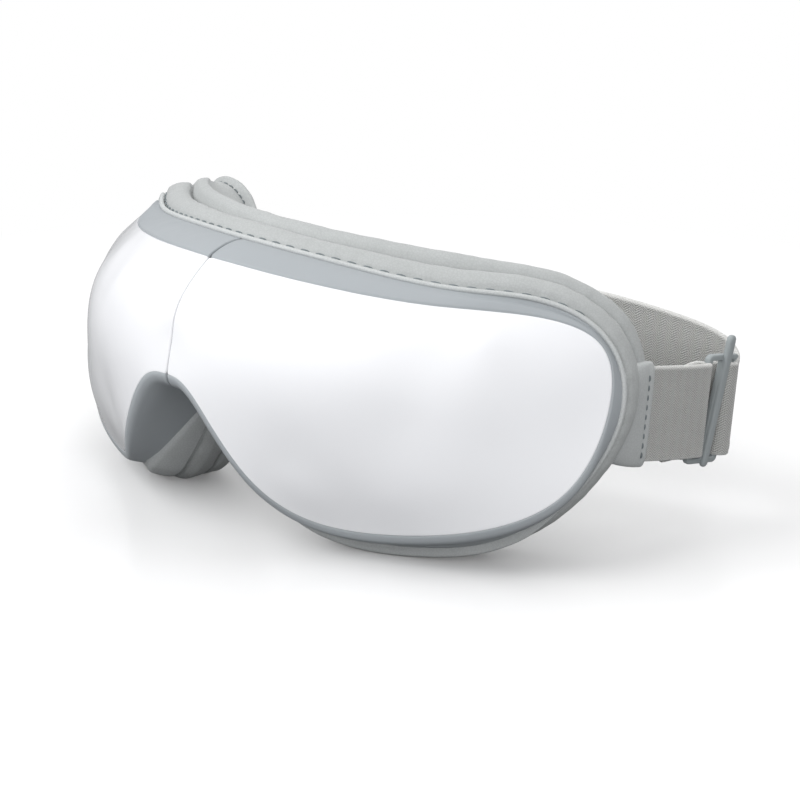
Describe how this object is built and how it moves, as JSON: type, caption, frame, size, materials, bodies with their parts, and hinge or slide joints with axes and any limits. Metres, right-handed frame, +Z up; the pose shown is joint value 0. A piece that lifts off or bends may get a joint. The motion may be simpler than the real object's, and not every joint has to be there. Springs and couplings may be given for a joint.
{
  "type": "eye massager mask",
  "caption": "Folding eye massager mask with glossy front shells, padded face cushion, air and vibration massage inside, and an elastic head strap.",
  "frame": {"origin": "centre of the footprint: on the plane between the two halves, midway between the front of the shell and the rear of the strap, at table height", "axes": "+Z up, +Y from the front shell towards the face, +X towards the half with the power button; the two halves mirror across X = 0"},
  "size_m": [0.2016, 0.1328, 0.082],
  "materials": {
    "shell": "high gloss",
    "housing": "satin",
    "buckle_plastic": "satin",
    "leather": "fine grain, semi-matt",
    "lining": "matt",
    "webbing": "woven elastic",
    "inner_plastic": "matt",
    "steel": "brushed",
    "board": "satin",
    "cell": "satin",
    "silicone": "matt",
    "film": "satin",
    "black_plastic": "matt"
  },
  "bodies": {
    "right_half": {"front_shell_right": "shell", "rear_housing_right": "housing", "face_cushion_right": "leather", "strap_right": "webbing", "strap_tail": "webbing", "seam_wall_right": "inner_plastic", "hinge_leaf_right": "inner_plastic", "air_pump_head": "inner_plastic", "strap_anchor_right": "inner_plastic", "hinge_pin": "steel", "hinge_screw_right_1": "steel", "hinge_screw_right_2": "steel", "vibration_motor_right": "steel", "air_pump_motor": "steel", "usb_port": "steel", "main_board": "board", "airbag_right": "silicone", "air_tube_right": "silicone", "hinge_cable": "film", "speaker": "black_plastic", "air_valve": "black_plastic"},
    "left_half": {"front_shell_left": "shell", "rear_housing_left": "housing", "seam_wall_left": "inner_plastic", "face_cushion_left": "leather", "airbag_left": "silicone", "hinge_leaf_left": "inner_plastic", "hinge_screw_left_1": "steel", "hinge_screw_left_2": "steel", "vibration_motor_left": "steel", "battery": "cell", "air_tube_left": "silicone", "strap_anchor_left": "inner_plastic", "strap_rear": "webbing"},
    "eye_pad_right": {"eye_pad_right": "lining", "heating_film_right": "film"},
    "eye_pad_left": {"eye_pad_left": "lining", "heating_film_left": "film"},
    "motor_weight_right": {"motor_weight_right": "steel"},
    "motor_weight_left": {"motor_weight_left": "steel"},
    "pump_eccentric": {"pump_eccentric": "inner_plastic"},
    "power_button": {"power_button": "shell"},
    "strap_buckle": {"strap_buckle": "buckle_plastic"}
  },
  "joints": [
    {"name": "fold", "type": "hinge", "parent": "right_half", "child": "left_half", "pos_m": [0, -0.02918, 0.06], "axis": [0, 0, -1], "range_deg": [0, 110], "deforming": ["strap_rear", "hinge_cable"]},
    {"name": "eye_pad_right_press", "type": "slide", "parent": "right_half", "child": "eye_pad_right", "axis": [-0.419, 0.908, 0], "range_m": [0, 0.0025]},
    {"name": "eye_pad_left_press", "type": "slide", "parent": "left_half", "child": "eye_pad_left", "axis": [0.419, 0.908, 0], "range_m": [0, 0.0025]},
    {"name": "motor_right_spin", "type": "hinge", "parent": "right_half", "child": "motor_weight_right", "pos_m": [0.05292, -0.03893, 0.0225], "axis": [0.9238, 0.3828, 0], "continuous": true},
    {"name": "motor_left_spin", "type": "hinge", "parent": "left_half", "child": "motor_weight_left", "pos_m": [-0.05292, -0.03893, 0.0225], "axis": [0.9238, -0.3828, 0], "continuous": true},
    {"name": "pump_spin", "type": "hinge", "parent": "right_half", "child": "pump_eccentric", "pos_m": [0.03046, -0.04672, 0.037], "axis": [0, 0, 1], "continuous": true},
    {"name": "power_button_press", "type": "slide", "parent": "right_half", "child": "power_button", "axis": [-0.2355, 0.4555, 0.8585], "range_m": [0, 0.0005]},
    {"name": "strap_buckle_slide", "type": "slide", "parent": "right_half", "child": "strap_buckle", "axis": [0.0847, -0.9799, 0.1807], "range_m": [0, 0.008]}
  ],
  "couplings": [
    {"joint": "eye_pad_left_press", "follows": "eye_pad_right_press", "ratio": 1}
  ]
}
